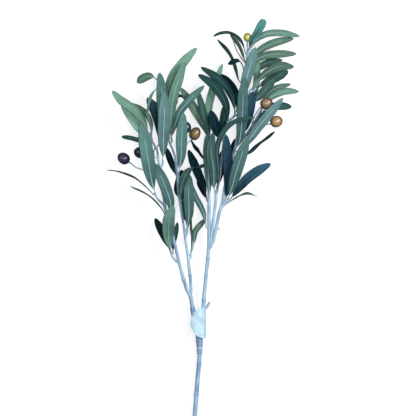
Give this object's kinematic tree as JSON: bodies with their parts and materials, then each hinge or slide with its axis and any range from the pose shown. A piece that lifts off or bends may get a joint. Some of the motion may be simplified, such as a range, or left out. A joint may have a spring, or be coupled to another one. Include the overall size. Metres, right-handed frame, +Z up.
{
  "type": "artificial olive branch with fruit",
  "caption": "Artificial olive spray laid on its back: a forked moulded stem with narrow cloth leaves on short stalks and painted olives on thin stalks.",
  "frame": {"origin": "middle of the underside of the whole spray, on the surface it lies on", "axes": "+Y from the cut end of the stem to the leafy tip, +X across the spray, +Z up from the surface"},
  "size_m": [0.2894, 0.6072, 0.0987],
  "materials": {
    "stem": "satin moulded plastic, pale blue-grey",
    "tape": "wound florist tape, pale blue-grey",
    "paper": "coated paper, bare",
    "leaf_sage": "coated cloth, sage green above, slate blue below, pale rib",
    "leaf_green": "coated cloth, fresh green above, slate blue below, pale rib",
    "leaf_dark": "coated cloth, deep green above, navy below, dark rib",
    "olive_plum": "semi-gloss paint, dark plum with a pale bloom",
    "olive_brown": "semi-gloss paint, golden brown, mottled",
    "olive_lime": "semi-gloss paint, yellow-green"
  },
  "bodies": {
    "root": {"blue_sprig_back_pair": "leaf_dark", "blue_sprig_pair": "leaf_sage", "centre_low_leaf": "leaf_sage", "centre_pair": "leaf_sage", "centre_small_leaf": "leaf_dark", "centre_tall_leaf": "leaf_green", "centre_thin_leaf": "leaf_dark", "centre_top_pair": "leaf_dark", "far_left_pair": "leaf_sage", "inner_crown_pair": "leaf_green", "inner_curl_leaf": "leaf_dark", "inner_folded_pair": "leaf_green", "inner_front_pair": "leaf_sage", "inner_hidden_pair": "leaf_sage", "inner_low_pair": "leaf_dark", "inner_tall_pair": "leaf_sage", "inner_top_pair": "leaf_green", "left_back_pair": "leaf_dark", "left_crossing_pair": "leaf_green", "left_front_leaf": "leaf_sage", "left_inner_shoot": "stem", "left_limb": "stem", "left_low_leaf": "leaf_dark", "left_low_pair": "leaf_green", "left_outer_shoot": "stem", "left_resting_leaf": "leaf_dark", "left_top_pair": "leaf_green", "left_upper_pair": "leaf_green", "main_stem": "stem", "middle_back_leaf": "leaf_dark", "middle_end_pair": "leaf_dark", "middle_pair": "leaf_sage", "middle_sweeping_leaf": "leaf_dark", "middle_upper_pair": "leaf_dark", "olive_brown_middle": "olive_brown", "olive_brown_right": "olive_brown", "olive_gold_right": "olive_brown", "olive_lime_top": "olive_lime", "olive_plum_behind": "olive_plum", "olive_plum_left": "olive_plum", "olive_plum_middle": "olive_plum", "outer_dark_pair": "leaf_dark", "outer_front_pair": "leaf_sage", "paper_label": "paper", "right_fork": "stem", "right_limb": "stem", "right_outer_shoot": "stem", "right_resting_leaf": "leaf_dark", "side_end_pair": "leaf_green", "side_low_pair": "leaf_dark", "side_lower_leaf": "leaf_dark", "side_thick_leaf": "leaf_green", "side_upper_pair": "leaf_dark", "tape_wrap": "tape", "top_blunt_leaf": "leaf_sage", "top_front_leaf": "leaf_sage", "top_lower_pair": "leaf_dark", "top_middle_pair": "leaf_green", "top_upper_pair": "leaf_green", "top_wide_pair": "leaf_green"}
  },
  "joints": []
}
